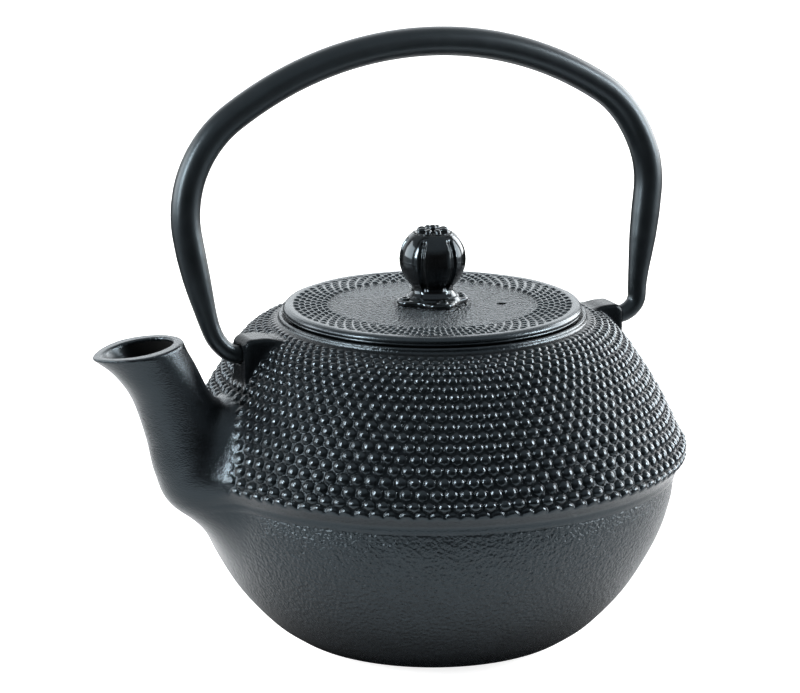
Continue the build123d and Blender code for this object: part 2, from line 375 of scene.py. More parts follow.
def bowl_values(u, v):
    """Distance to the bowl's envelope, bead row coordinate and bowl radius at the nearest point."""
    outline = np.vstack([shoulder_line, COLLAR, [(0.0, 0.0)]])
    mirrored = np.vstack([outline, outline[::-1] * [-1, 1]])
    away = outline_distance(mirrored)(u, v)
    best = np.full(u.shape, 1e9)
    row = np.zeros(u.shape)
    radius = np.zeros(u.shape)
    for (ax, ay), (bx, by), ra, rb in zip(
        shoulder_line, shoulder_line[1:], shoulder_rows, shoulder_rows[1:]
    ):
        dx, dy = bx - ax, by - ay
        t = np.clip(((u - ax) * dx + (v - ay) * dy) / (dx * dx + dy * dy), 0, 1)
        gap = (u - ax - t * dx) ** 2 + (v - ay - t * dy) ** 2
        closer = gap < best
        best = np.where(closer, gap, best)
        row = np.where(closer, ra + t * (rb - ra), row)
        radius = np.where(closer, ax + t * dx, radius)
    return np.stack([away, row, radius], -1)


bowl_table = Table([0, -12], [96, 124], 0.3, bowl_values)
throat_line = [
    (THROAT_R + 0.6, THROAT_Z), (THROAT_R, THROAT_Z + 0.5), (THROAT_R, LEDGE_Z), (LEDGE_R, LEDGE_Z),
    (LEDGE_R, RIM_Z - 0.6), (LEDGE_R + 0.6, RIM_Z + 0.2), (LEDGE_R + 0.6, OPEN_TOP), (0, OPEN_TOP),
]
cavity_line = np.vstack([[(0.0, FLOOR_Z)], through(CAVITY), throat_line])
cavity = turned(cavity_line)
DICE_ROWS = 64  # rows of random numbers; each row of beads takes one
bead_dice = np.random.default_rng(7)
bead_height_change = bead_dice.uniform(0.86, 1.1, (DICE_ROWS, BEADS_ROUND))
bead_across_change = bead_dice.uniform(-0.035, 0.035, (DICE_ROWS, BEADS_ROUND))
bead_along_change = bead_dice.uniform(-0.035, 0.035, (DICE_ROWS, BEADS_ROUND))


def bead_cap(reach):
    """Height of a round-topped bead at a squared distance from its middle; 1 is the bead's edge."""
    radius = (BEAD_WIDTH**2 / 4 + BEAD_RISE**2) / (2 * BEAD_RISE)
    side = np.sqrt(np.maximum(radius**2 - np.minimum(reach, 1) * BEAD_WIDTH**2 / 4, 0))
    return np.maximum(side - radius + BEAD_RISE, 0) / BEAD_RISE


def bead_field(row, turn, round_count, last_row, pitch, gap, width, shape, drift):
    """Height of the nearest bead: 0 in the net between the beads, about 1 on top of one."""
    best = np.zeros(row.shape)
    base = np.floor(row).astype(int)
    for step in (0, 1):
        r = base + step
        shift = 0.5 * (r % 2)
        column = np.round(turn - shift).astype(int)
        dice = (r % DICE_ROWS, column % round_count)
        across = (turn - shift - column + bead_across_change[dice]) * pitch
        along = (row - r + drift * bead_along_change[dice]) * gap
        height = shape((across**2 + along**2) / (width / 2) ** 2) * bead_height_change[dice]
        best = np.maximum(best, np.where((r >= 0) & (r <= last_row), height, 0))
    return best


# ---- spout
# Front point, back point and half width of sections from the root up to the mouth, in the XZ plane.
SPOUT_SKIN = [
    ((-73.0, 42.5), (-54.0, 72.0), 20.5),
    ((-90.8, 54.0), (-65.9, 79.6), 17.5),
    ((-96.6, 64.9), (-73.6, 85.0), 13.9),
    ((-99.6, 77.2), (-78.9, 91.6), 12.6),
    ((-104.2, 90.6), (-84.0, 101.6), 12.6),
    ((-110.6, 99.6), (-86.8, 106.6), 12.9),
    ((-118.3, 105.9), (-88.2, 110.1), 13.4),
]
SPOUT_BORE = [
    ((-69.0, 43.6), (-55.0, 60.4), 11.0),
    ((-89.5, 67.4), (-74.5, 80.6), 9.5),
    ((-94.8, 80.5), (-81.6, 89.7), 8.8),
    ((-100.2, 94.1), (-87.4, 100.7), 8.8),
    ((-109.3, 102.0), (-90.2, 106.6), 8.8),
    ((-116.3, 108.0), (-91.9, 111.0), 8.9),
]
LIP_POINT = 1.6  # exponent of the front half of the mouth: 2 is an ellipse, 1 is a wedge
BORE_POINT = 1.7
LIP_START = 0.72  # the mouth turns pointed from here, as a part of the tube's length


def spout_tube(sections, lip_point):
    """Distance to a bent tube with oval sections; also how far a point is past each end."""
    rows = [[*front, *back, width] for front, back, width in sections]
    steps = 24
    fine = through(rows, steps)
    front, back, width = fine[:, 0:2], fine[:, 2:4], fine[:, 4]
    centre = (front + back) / 2
    half = np.linalg.norm(front - back, axis=1) / 2
    ahead = (front - back) / (2 * half[:, None])
    upward = np.stack([ahead[:, 1], -ahead[:, 0]], -1)
    last = len(fine) - 1

    def place(u, v):
        p = np.stack([u, v], -1)
        past = np.einsum("nkj,kj->nk", p[:, None, :] - centre[None], upward)
        first_below = np.argmax(past < 0, axis=1)
        never = ~(past < 0).any(axis=1)
        upper = np.where(never, last, np.clip(first_below, 1, last))
        rows_index = np.arange(len(p))
        a = past[rows_index, upper - 1]
        b = past[rows_index, upper]
        t = np.where(never, 1, np.clip(a / np.where(a - b == 0, 1, a - b), 0, 1))
        at = upper - 1 + t
        at = np.where(past[:, 0] < 0, 0, at)
        low = np.clip(at.astype(int), 0, last - 1)
        f = (at - low)[:, None]
        c = centre[low] * (1 - f) + centre[low + 1] * f
        d = ahead[low] * (1 - f) + ahead[low + 1] * f
        offset = ((p - c) * d).sum(-1)
        return np.stack([at / last, offset, past[:, 0], past[:, -1]], -1)

    table = Table([-136, 24], [-36, 128], 0.4, place)

    def distance(p):
        found = table(p[:, 0], p[:, 2])
        t, offset, after_start, after_end = found.T
        a = np.interp(t * last, np.arange(last + 1), half)
        w = np.interp(t * last, np.arange(last + 1), width)
        m = np.where(offset > 0, 2 + (lip_point - 2) * smoothstep(LIP_START, 1.0, t), 2.0)
        u = np.abs(offset) / a
        v = np.abs(p[:, 1]) / w
        ratio = np.maximum((u**m + v**m) ** (1 / m), 1e-3)
        away = np.hypot(offset, p[:, 1]) * (1 - 1 / ratio)
        away = np.maximum(away, -np.minimum(a, w))
        return away, after_start, after_end

    return distance


spout_skin = spout_tube(SPOUT_SKIN, LIP_POINT)
spout_bore = spout_tube(SPOUT_BORE, BORE_POINT)


# ---- lugs
LUG_FACE = 67.0
LUG_SPOUT_FACE = 68.2  # the ear over the spout reaches out a little further
LUG_HALF_WIDTH = 6.0
LUG_INNER = 47.0
LUG_TOP = 4.8  # above the pivot
LUG_SPOUT_TOP = 5.6
LUG_WEB = 14.0  # how far the ears reach down below the pivot
LUG_CREST = 62.0  # from here inwards the top of an ear falls away
LUG_FALL = 0.03
LUG_CORNER_R = 3.0
LUG_HOLE_R = 2.2
LUG_HOLE_DEPTH = 7.5
LUG_COUNTERBORE_R = 3.3
LUG_COUNTERBORE = 67.2
LUG_HOLE_END = 74.0  # the holes stop here, short of the spout


def lugs(p):
    """Both ears: flat-sided blocks with rounded tops that run down into the shoulder."""
    x = np.abs(p[:, 0])
    z = p[:, 2] - PIVOT_Z + LUG_FALL * np.maximum(LUG_CREST - x, 0) ** 2
    face = np.where(p[:, 0] < 0, LUG_SPOUT_FACE, LUG_FACE)
    across = np.abs(x - (face + LUG_INNER) / 2) - (face - LUG_INNER) / 2 + LUG_CORNER_R
    top = np.where(p[:, 0] < 0, LUG_SPOUT_TOP, LUG_TOP)
    upright = np.abs(z - (top - LUG_WEB) / 2) - (top + LUG_WEB) / 2 + LUG_CORNER_R
    outside = np.hypot(np.maximum(across, 0), np.maximum(upright, 0))
    profile = outside + np.minimum(np.maximum(across, upright), 0) - LUG_CORNER_R
    return smooth_max(profile, np.abs(p[:, 1]) - LUG_HALF_WIDTH, 2.0)


def lug_holes(p):
    x = np.abs(p[:, 0])
    around = np.hypot(p[:, 1], p[:, 2] - PIVOT_Z)
    pin_hole = np.maximum(around - LUG_HOLE_R, LUG_FACE - LUG_HOLE_DEPTH - x)
    counterbore = np.maximum(around - LUG_COUNTERBORE_R, LUG_COUNTERBORE - x)
    return np.maximum(np.minimum(pin_hole, counterbore), x - LUG_HOLE_END)


BED = (-0.25, 0.3)  # rows over which the bed of the beads sinks in above the band
TOP_ROW = (ROWS - 0.7, ROWS + 0.6)  # rows over which it rises again
CALM_SPOUT = (2.0, 7.0)  # distances from spout and ear over which the beads fade in
CALM_EAR = (0.0, 1.4)
CALM_DEPTH = 0.45  # how much of the bed is filled where there are no beads
LIP_ROUND = 1.1
SPOUT_BLEND = 9.0
EAR_BLEND = 1.6
BORE_BLEND = 3.0
MOUTH_ROUND = 1.0


def pot_skin(p):
    """Distance to the outside of the casting, and the bead height there."""
    r = np.hypot(p[:, 0], p[:, 1])
    away, row, radius = bowl_table(r, p[:, 2]).T
    pitch = 2 * math.pi * radius / BEADS_ROUND
    turn = (np.arctan2(p[:, 1], p[:, 0]) / (2 * math.pi) + 0.5) * BEADS_ROUND
    gap = ROW_GAP * pitch
    bead = bead_field(row, turn, BEADS_ROUND, ROWS, pitch, gap, BEAD_WIDTH * pitch, bead_cap, 1)
    zone = smoothstep(*BED, row) * (1 - smoothstep(*TOP_ROW, row))
    skin, after_start, after_end = spout_skin(p)
    spout = smooth_max(skin, after_end, LIP_ROUND)
    spout = np.maximum(spout, -after_start)
    ear = lugs(p)
    calm = smoothstep(*CALM_SPOUT, spout) * smoothstep(*CALM_EAR, ear)
    depth = BEAD_RISE * pitch * zone
    bowl = away + depth * (1 - bead * calm) - depth * CALM_DEPTH * (1 - calm)
    total = smooth_min(bowl, spout, SPOUT_BLEND)
    total = smooth_min(total, ear, EAR_BLEND)
    return total, bead * zone * calm


def pot_hollow(p):
    bore, after_start, _ = spout_bore(p)
    return smooth_min(cavity(p), np.maximum(bore, -after_start), BORE_BLEND)


def pot(p):
    skin, _ = pot_skin(p)
    return np.maximum(smooth_max(skin, -pot_hollow(p), MOUTH_ROUND), -lug_holes(p))


# ---- lid
PANEL_Z = LID_TOP - 0.4
PANEL_R = 45.0
BAND_IN_R = 34.2  # inner edge of the lid's bead band
LID_RINGS = 6
LID_RING_GAP = 1.85
LID_BEADS = 66
LID_BEAD_R = 1.12
LID_BEAD_RISE = 0.62
FIRST_RING_R = BAND_IN_R + LID_BEAD_R - 0.1
RIM_WAVE = 0.1  # height of the unevenness of the lid's edge
PAD_R = 12.4  # flat pad under the knob's rosette
VENT_R = 1.45
VENT_TURN = math.radians(-24.0)
VENT_PLACE = (22.5 * math.cos(VENT_TURN), 22.5 * math.sin(VENT_TURN))
SCREW_HOLE_R = 2.3
LID_OUTLINE = [
    (0.0, PANEL_Z), (PANEL_R - 0.5, PANEL_Z), (PANEL_R, PANEL_Z + 0.1), (PANEL_R + 0.5, LID_TOP - 0.12),
    (PANEL_R + 1.0, LID_TOP), (47.2, LID_TOP - 0.05), (48.0, LID_TOP - 0.35), (48.55, LID_TOP - 0.95),
    (48.75, 111.6), (48.6, 111.0), (48.35, 110.75), (48.55, 110.5), (48.45, 110.2), (48.0, 110.0),
    (38.4, 110.0), (37.8, 109.4), (37.8, 104.5), (37.3, 104.0), (35.5, 104.0), (35.0, 104.5),
    (35.0, 109.4), (34.4, 110.0), (0.0, 110.0),
]
lid_body = turned(LID_OUTLINE, step=0.15, margin=6.0)


def lid_bead_cap(reach):
    return np.clip(1 - reach, 0, 1) ** 0.7


def lid(p):
    x, y, z = p.T
    r = np.hypot(x, y)
    angle = np.arctan2(y, x)
    ring = (r - FIRST_RING_R) / LID_RING_GAP
    turn = angle / (2 * math.pi) * LID_BEADS
    pitch = 2 * math.pi * r / LID_BEADS
    last_ring = LID_RINGS - 1
    width = 2 * LID_BEAD_R
    best = bead_field(ring, turn, LID_BEADS, last_ring, pitch, LID_RING_GAP, width, lid_bead_cap, 0)
    top = smoothstep(LID_TOP - 1.4, LID_TOP - 0.7, z)
    wave = RIM_WAVE * np.sin(9 * angle + 1.3) * np.sin(4 * angle) * smoothstep(46, 48, r)
    body = lid_body(p) - best * LID_BEAD_RISE * top + wave
    pad = np.maximum(r - PAD_R, np.maximum(z - LID_TOP, LID_TOP - 1 - z))
    body = smooth_min(body, pad, 0.5)
    vent = np.hypot(x - VENT_PLACE[0], y - VENT_PLACE[1]) - VENT_R
    return np.maximum(np.maximum(body, -vent), SCREW_HOLE_R - r)


# ---- knob and its rosette
# Heights in the knob and the rosette are measured from the top of the lid.
FLUTES = 6
FLUTE_TURN = math.radians(-14.4)
KNOB_OUTLINE = [
    (0.0, 2.6), (7.7, 2.6), (7.9, 2.9), (7.5, 3.4), (6.9, 4.2), (6.7, 5.2), (6.95, 5.9), (7.6, 6.6),
    (8.7, 8.0), (9.9, 10.2), (10.65, 12.6), (10.8, 15.0), (10.5, 17.4), (9.7, 19.6), (8.4, 21.6),
    (7.4, 22.7), (6.9, 23.1), (6.6, 23.4), (6.2, 23.4), (5.9, 23.0), (0.0, 22.8),
]
FLUTE_DEPTH = 0.95
FLUTE_HALF_WIDTH = 1.25
FLUTE_FOOT, FLUTE_HEAD = (4.5, 6.5), (20.3, 22.4)  # heights over which the flutes start and end
RIB_HEIGHT, RIB_WIDTH = 0.3, 0.28  # thin rib along the middle of each flute
PARTING_Z, PARTING_RISE, PARTING_WIDTH = 14.6, 0.05, 0.18  # faint line where the mould met
PETALS = 8
PETAL_OUT, PETAL_Z, PETAL_R = 3.7, 23.9, 1.15
PETAL_LENGTH, PETAL_HEIGHT = 1.5, 1.1  # in petal radii
DISC_R, DISC_Z, DISC_HALF = 5.9, 22.9, 0.8  # disc that carries the petals
BUTTON_Z, BUTTON_R = 24.6, 1.4
KNOB_HOLE_R = 2.05
KNOB_HOLE_TOP = 13.6
knob_body = turned([(r, z + LID_TOP) for r, z in through(KNOB_OUTLINE, 6)], step=0.1, margin=4.0)


def knob(p):
    x, y = p[:, 0], p[:, 1]
    z = p[:, 2] - LID_TOP
    r = np.hypot(x, y)
    angle = np.arctan2(y, x)
    step = 2 * math.pi / FLUTES
    off = (angle - FLUTE_TURN + step / 2) % step - step / 2
    side = r * np.sin(off)
    groove = FLUTE_DEPTH * np.clip(1 - (side / FLUTE_HALF_WIDTH) ** 2, 0, 1) ** 1.3
    rib = RIB_HEIGHT * np.exp(-((side / RIB_WIDTH) ** 2))
    run = smoothstep(*FLUTE_FOOT, z) * (1 - smoothstep(*FLUTE_HEAD, z))
    parting = PARTING_RISE * np.exp(-(((z - PARTING_Z) / PARTING_WIDTH) ** 2)) * smoothstep(8, 9.5, r)
    body = knob_body(p) + (groove - rib) * run - parting

    petal_step = 2 * math.pi / PETALS
    petal_off = (angle + petal_step / 2) % petal_step - petal_step / 2
    px = (r * np.cos(petal_off) - PETAL_OUT) / PETAL_LENGTH
    py = r * np.sin(petal_off)
    petal = np.sqrt(px**2 + py**2 + ((z - PETAL_Z) / PETAL_HEIGHT) ** 2) - PETAL_R
    disc = np.maximum(r - DISC_R, np.abs(z - DISC_Z) - DISC_HALF)
    button = np.sqrt(x**2 + y**2 + (z - BUTTON_Z) ** 2) - BUTTON_R
    flower = smooth_min(smooth_min(disc, petal, 0.3), button, 0.3)
    screw_hole = np.maximum(r - KNOB_HOLE_R, z - KNOB_HOLE_TOP)
    return np.maximum(smooth_min(body, flower, 0.4), -screw_hole)


SEAT_H = SEAT_HIGH[2] - LID_TOP
SEAT_TURN = math.radians(-5.0)
ARM_OUT, ARM_R = 7.1, 5.0  # four round-ended arms: middle of the round end, and its radius
HEART_R = 9.4
PLATE_H = 1.75
NECK_R = 8.6
NUB_OUT, NUB_RING_R, NUB_BAR_R = 9.4, 1.35, 0.62  # a small raised ring on each arm


def rosette(p):
    x, y = p[:, 0], p[:, 1]
    z = p[:, 2] - LID_TOP
    angle = np.arctan2(y, x) - SEAT_TURN
    r = np.hypot(x, y)
    quarter = (angle + math.pi / 4) % (math.pi / 2) - math.pi / 4
    u = r * np.cos(quarter)
    v = r * np.sin(quarter)
    arm = np.hypot(np.maximum(u - ARM_OUT, 0) + np.minimum(u, 0), v) - ARM_R
    plan = smooth_min(arm, r - HEART_R, 1.4)
    plate = smooth_max(plan, np.maximum(z - PLATE_H, -z), 0.9)
    neck = smooth_max(r - NECK_R, np.maximum(z - SEAT_H, -z), 0.8)
    nub = np.hypot(np.hypot(u - NUB_OUT, v) - NUB_RING_R, z - PLATE_H) - NUB_BAR_R
    body = smooth_min(smooth_min(plate, neck, 0.9), np.maximum(nub, -z), 0.3)
    return np.maximum(body, SCREW_HOLE_R - r)


# ---- bail
CROWN_RADIUS = 122.0
CROWN_TOP = 95.7
CROWN_HALF = math.radians(33.0)
BEND_RADIUS = 35.0
LEG_TILT = math.radians(10.6)
TAIL_BEND = 8.0
BAIL_LEAN = math.radians(5.0)
PIN_R = 2.1
PIN_END = 60.6
BAR_SIDES = 48
THICKNESS_BY_HEIGHT = [
    (-20, 2.9), (2.5, 2.95), (10, 3.15), (15, 3.5), (20, 4.0), (25.5, 4.45), (33, 4.75), (200, 4.75),
]
# How far the hand-bent bail stands off its true shape towards the spout, by height above the pivot.
PULL_SPOUT_SIDE = [(3, 0), (12, 1.8), (33, 2.6), (53, 1.7), (75, 0.9), (95, 1.1)]
PULL_FAR_SIDE = [(3, 0), (12, 1.0), (32, 1.5), (50, 2.2), (67, 2.8), (95, 1.1)]


def bail_line():
    """Points of the +X half of the bail's centre line, from the top of the crown to the pin's end."""
    centre_z = CROWN_TOP - CROWN_RADIUS
    inset = CROWN_RADIUS - BEND_RADIUS
    bend_x, bend_z = inset * math.sin(CROWN_HALF), centre_z + inset * math.cos(CROWN_HALF)
    crown = np.linspace(0, CROWN_HALF, 40)
    bend = np.linspace(CROWN_HALF, math.pi / 2 + LEG_TILT, 34)[1:]
    top_x = bend_x + BEND_RADIUS * math.cos(LEG_TILT)
    top_z = bend_z - BEND_RADIUS * math.sin(LEG_TILT)
    foot_x = top_x - top_z * math.tan(LEG_TILT)
    reach = TAIL_BEND * math.tan((math.pi / 2 - LEG_TILT) / 2)
    leg = np.linspace(top_z, reach * math.cos(LEG_TILT), 44)[1:]
    corner = np.linspace(0, math.pi / 2 - LEG_TILT, 14)[1:]
    corner_x = foot_x - reach
    end = np.linspace(corner_x, PIN_END, 12)[1:]
    return np.vstack([
        np.stack([CROWN_RADIUS * np.sin(crown), centre_z + CROWN_RADIUS * np.cos(crown)], -1),
        np.stack([bend_x + BEND_RADIUS * np.sin(bend), bend_z + BEND_RADIUS * np.cos(bend)], -1),
        np.stack([foot_x + leg * math.tan(LEG_TILT), leg], -1),
        np.stack([
            corner_x + TAIL_BEND * np.cos(LEG_TILT + corner),
            TAIL_BEND - TAIL_BEND * np.sin(LEG_TILT + corner),
        ], -1),
        np.stack([end, 0 * end], -1),
    ])


def bail_mesh():
    half = bail_line()
    line = np.vstack([half[::-1] * [-1, 1], half[1:]])
    spout_pull = np.interp(line[:, 1], *through(PULL_SPOUT_SIDE).T)
    far_pull = np.interp(line[:, 1], *through(PULL_FAR_SIDE).T)
    line[:, 0] -= np.where(line[:, 0] < 0, spout_pull, far_pull)
    ahead = np.gradient(line, axis=0)
    ahead /= np.linalg.norm(ahead, axis=1, keepdims=True)
    across = np.stack([-ahead[:, 1], ahead[:, 0]], -1)
    heights, sizes = zip(*THICKNESS_BY_HEIGHT)
    radius = np.interp(line[:, 1], heights, sizes)
    in_lug = (line[:, 1] < TAIL_BEND) & (np.abs(line[:, 0]) < LUG_FACE + 0.5)
    radius = np.where(in_lug, PIN_R, radius)
    turn = np.linspace(0, 2 * math.pi, BAR_SIDES, endpoint=False)
    rings = []
    for (x, z), (nx, nz), size in zip(line, across, radius):
        rings.append(np.stack([
            x + size * np.cos(turn) * nx,
            size * np.sin(turn),
            z + size * np.cos(turn) * nz,
        ], -1))
    points = np.vstack(rings)
    y, z = points[:, 1].copy(), points[:, 2].copy()
    points[:, 1] = y * math.cos(BAIL_LEAN) + z * math.sin(BAIL_LEAN)
    points[:, 2] = -y * math.sin(BAIL_LEAN) + z * math.cos(BAIL_LEAN) + PIVOT_Z
    faces = []
    for ring in range(len(line) - 1):
        for k in range(BAR_SIDES):
            a = ring * BAR_SIDES + k
            b = ring * BAR_SIDES + (k + 1) % BAR_SIDES
            faces.append((a, b, b + BAR_SIDES, a + BAR_SIDES))
    last = (len(line) - 1) * BAR_SIDES
    faces.append(tuple(range(BAR_SIDES - 1, -1, -1)))
    faces.append(tuple(last + k for k in range(BAR_SIDES)))
    return points, faces


# ---- materials
def map_range(tree, value, start, end, low=0.0, high=1.0, smooth=True):
    """Map start..end of a value onto low..high."""
    node = tree.nodes.new("ShaderNodeMapRange")
    if smooth:
        node.interpolation_type = "SMOOTHSTEP"
    for name, number in (("From Min", start), ("From Max", end), ("To Min", low), ("To Max", high)):
        node.inputs[name].default_value = number
    tree.links.new(value, node.inputs["Value"])
    return node.outputs["Result"]


def math_node(tree, operation, *terms):
    """Arithmetic on sockets and plain numbers."""
    node = tree.nodes.new("ShaderNodeMath")
    node.operation = operation
    for socket, term in zip(node.inputs, terms):
        if isinstance(term, (int, float)):
            socket.default_value = term
        else:
            tree.links.new(term, socket)
    return node.outputs[0]


class Look:
    """A material in the making, with a flat colour and roughness that textures then replace.

    Textures are laid out in millimetres of the object's own space.
    """

    def __init__(self, name, color, roughness, metallic=0.0, specular=0.5, tint=(1, 1, 1)):
        self.material = bpy.data.materials.new(name)
        self.material.use_nodes = True
        self.tree = self.material.node_tree
        self.shader = self.tree.nodes["Principled BSDF"]
        self.shader.inputs["Base Color"].default_value = (*color, 1)
        self.shader.inputs["Roughness"].default_value = roughness
        self.shader.inputs["Metallic"].default_value = metallic
        self.shader.inputs["Specular IOR Level"].default_value = specular
        self.shader.inputs["Specular Tint"].default_value = (*tint, 1)
        place = self.node("ShaderNodeTexCoord")
        scale = self.node("ShaderNodeMapping")
        scale.inputs["Scale"].default_value = (1 / MM, 1 / MM, 1 / MM)
        self.link(place.outputs["Object"], scale.inputs["Vector"])
        self.place = scale.outputs["Vector"]

    def node(self, kind):
        return self.tree.nodes.new(kind)

    def link(self, start, end):
        self.tree.links.new(start, end)

    def noise(self, size, detail=3.0, rough=0.55, stretch=(1, 1, 1)):
        """Noise from 0 to 1 with features about `size` millimetres across."""
        mapping = self.node("ShaderNodeMapping")
        mapping.inputs["Scale"].default_value = stretch
        self.link(self.place, mapping.inputs["Vector"])
        texture = self.node("ShaderNodeTexNoise")
        texture.inputs["Scale"].default_value = 1 / size
        texture.inputs["Detail"].default_value = detail
        texture.inputs["Roughness"].default_value = rough
        self.link(mapping.outputs["Vector"], texture.inputs["Vector"])
        return texture.outputs["Fac"]

    def cells(self, size, smoothness, warp):
        """Distance to the nearest of scattered points, warped so that no cell is round."""
        wander = self.node("ShaderNodeTexNoise")
        wander.inputs["Scale"].default_value = 0.7 / size
        self.link(self.place, wander.inputs["Vector"])
        shifted = self.node("ShaderNodeVectorMath")
        shifted.operation = "MULTIPLY_ADD"
        shifted.inputs[1].default_value = (warp * size,) * 3
        self.link(wander.outputs["Color"], shifted.inputs[0])
        self.link(self.place, shifted.inputs[2])
        texture = self.node("ShaderNodeTexVoronoi")
        texture.feature = "SMOOTH_F1"
        texture.inputs["Scale"].default_value = 1 / size
        texture.inputs["Smoothness"].default_value = smoothness
        self.link(shifted.outputs[0], texture.inputs["Vector"])
        return texture.outputs["Distance"]

    def marked(self, name):
        attribute = self.node("ShaderNodeAttribute")
        attribute.attribute_name = name
        return attribute.outputs["Fac"]

    def math(self, operation, *terms):
        return math_node(self.tree, operation, *terms)

    def spread(self, value, low, high, start=0.0, end=1.0):
        return map_range(self.tree, value, start, end, low, high, smooth=False)

    def colors(self, value, stops):
        ramp = self.node("ShaderNodeValToRGB")
        elements = ramp.color_ramp.elements
        while len(elements) < len(stops):
            elements.new(0.5)
        for element, (position, color) in zip(elements, stops):
            element.position = position
            element.color = (*color, 1)
        self.link(value, ramp.inputs["Fac"])
        return ramp.outputs["Color"]

    def bump(self, height, depth, under=None):
        """Bump of about `depth` millimetres, laid over an earlier bump if there is one."""
        node = self.node("ShaderNodeBump")
        node.inputs["Strength"].default_value = 1.0
        node.inputs["Distance"].default_value = depth * MM
        self.link(height, node.inputs["Height"])
        if under is not None:
            self.link(under, node.inputs["Normal"])
        return node.outputs["Normal"]

    def use(self, name, value):
        self.link(value, self.shader.inputs[name])


WEAVE_PITCH = 0.9
WEAVE_ROUND = 230  # holes round the infuser's wall
WEAVE_DEPTH = 0.12
IRON_DARK = (0.0018, 0.0023, 0.0027)
IRON = (0.0026, 0.0033, 0.0039)
IRON_PALE = (0.0038, 0.0048, 0.0057)
IRON_GLINT = (0.70, 0.88, 1.0)  # tint of the coating's reflections
ENAMEL_DARK = (0.004, 0.004, 0.004)
ENAMEL = (0.006, 0.0065, 0.007)
ENAMEL_PALE = (0.008, 0.008, 0.008)
PAINT_DARK = (0.0015, 0.0015, 0.0015)
PAINT = (0.002, 0.0022, 0.0024)
PAINT_PALE = (0.003, 0.0033, 0.0036)
SATIN = (0.005, 0.006, 0.007)
STEEL_DARK = (0.46, 0.46, 0.45)
STEEL = (0.55, 0.55, 0.54)
STEEL_PALE = (0.6, 0.6, 0.59)
WIRE = (0.5, 0.5, 0.49)
HOLE_SHADE = (0.01, 0.01, 0.01)


def cast_iron():
    """Coated iron of the pot: leathery below the ridge, glossy on the hobnails, fine grain elsewhere;
    painted shade in the net between the hobnails.
    """
    look = Look("cast_iron", IRON, 0.3, specular=0.35, tint=IRON_GLINT)
    bead = look.marked("bead")
    leather = look.marked("leather")
    mottle = look.noise(7.0, 4.0)
    grain = look.noise(0.5, 2.0, 0.6)
    look.use("Base Color", look.colors(mottle, [(0.3, IRON_DARK), (0.5, IRON), (0.72, IRON_PALE)]))
    rough = look.spread(bead, 0.19, 0.14)
    rough = look.math("ADD", rough, look.spread(grain, -0.05, 0.07))
    rough = look.math("ADD", rough, look.math("MULTIPLY", leather, 0.06))
    look.use("Roughness", rough)
    wrinkle = look.cells(1.35, 0.4, 1.0)
    soft = look.noise(0.9, 2.0)
    hide = look.math("MULTIPLY", look.math("ADD", wrinkle, soft), leather)
    normal = look.bump(hide, 0.42)
    shoulder = look.marked("shoulder")
    dents = look.math("MULTIPLY", look.noise(1.0, 2.0), shoulder)
    normal = look.bump(dents, 0.08, normal)
    sand = look.math("MULTIPLY", grain, look.spread(shoulder, 1.0, 0.3))
    look.use("Normal", look.bump(sand, 0.13, normal))
    # Painted shade: on the shoulder, reflections are turned down in the net between the hobnails, as the
    # shade that falls in those hollows.
    net = look.math("MULTIPLY", shoulder, look.spread(bead, 1.0, 0.0, 0.05, 0.6))
    look.use("Specular IOR Level", look.spread(net, 0.42, 0.1))
    return look.material


def enamel():
    """Dark enamel inside the pot and the spout."""
    look = Look("enamel", ENAMEL, 0.3, specular=0.35, tint=IRON_GLINT)
    orange_peel = look.noise(1.6, 2.0)
    look.use("Base Color", look.colors(look.noise(14.0), [(0.3, ENAMEL_DARK), (0.7, ENAMEL_PALE)]))
    look.use("Roughness", look.spread(look.noise(6.0), 0.24, 0.38))
    look.use("Normal", look.bump(orange_peel, 0.06))
    return look.material


def lid_iron():
    """Coated iron of the lid: a rough field of short strokes in the middle, glossy hobnails and rim."""
    look = Look("lid_iron", IRON, 0.3, tint=IRON_GLINT)
    bead = look.marked("bead")
    field = look.marked("field")
    mottle = look.noise(6.0, 4.0)
    look.use("Base Color", look.colors(mottle, [(0.3, IRON_DARK), (0.55, IRON), (0.75, IRON_PALE)]))
    grain = look.noise(0.5, 2.0, 0.6)
    rough = look.math("ADD", look.spread(bead, 0.24, 0.16), look.spread(grain, -0.05, 0.07))
    look.use("Roughness", rough)
    strokes = look.math("MULTIPLY", look.cells(0.95, 0.15, 1.5), field)
    normal = look.bump(strokes, 2.6)
    scratches = look.math("MULTIPLY", look.noise(0.6, 2.0), look.spread(field, 0.12, 1.0))
    normal = look.bump(scratches, 0.2, normal)
    look.use("Normal", look.bump(grain, 0.05, normal))
    return look.material


def gloss_black():
    """Thick glossy paint on the knob and its rosette."""
    look = Look("gloss_black", PAINT, 0.12, specular=0.36, tint=IRON_GLINT)
    look.use("Base Color", look.colors(look.noise(5.0), [(0.3, PAINT_DARK), (0.7, PAINT_PALE)]))
    look.use("Roughness", look.spread(look.noise(2.5, 3.0), 0.07, 0.17))
    look.use("Normal", look.bump(look.noise(1.8, 2.0), 0.012))
    return look.material


def satin_black():
    """Satin paint on the bail: slight orange peel and rubbed spots."""
    look = Look("satin_black", SATIN, 0.34, specular=0.36, tint=IRON_GLINT)
    look.use("Base Color", look.colors(look.noise(16.0, 4.0), [(0.3, IRON_DARK), (0.7, IRON_PALE)]))
    look.use("Roughness", look.spread(look.noise(4.0, 4.0), 0.28, 0.4))
    peel = look.bump(look.noise(1.3, 2.0), 0.03)
    look.use("Normal", look.bump(look.noise(0.35, 1.0), 0.012, peel))
    return look.material


def steel(name, roughness, stretch):
    """Stainless steel with fine lines along one direction."""
    look = Look(name, STEEL, roughness, metallic=1.0)
    lines = look.noise(0.5, 3.0, 0.6, stretch=stretch)
    look.use("Base Color", look.colors(look.noise(8.0), [(0.3, STEEL_DARK), (0.7, STEEL_PALE)]))
    look.use("Roughness", look.spread(lines, roughness - 0.06, roughness + 0.1))
    look.use("Normal", look.bump(lines, 0.01))
    return look.material


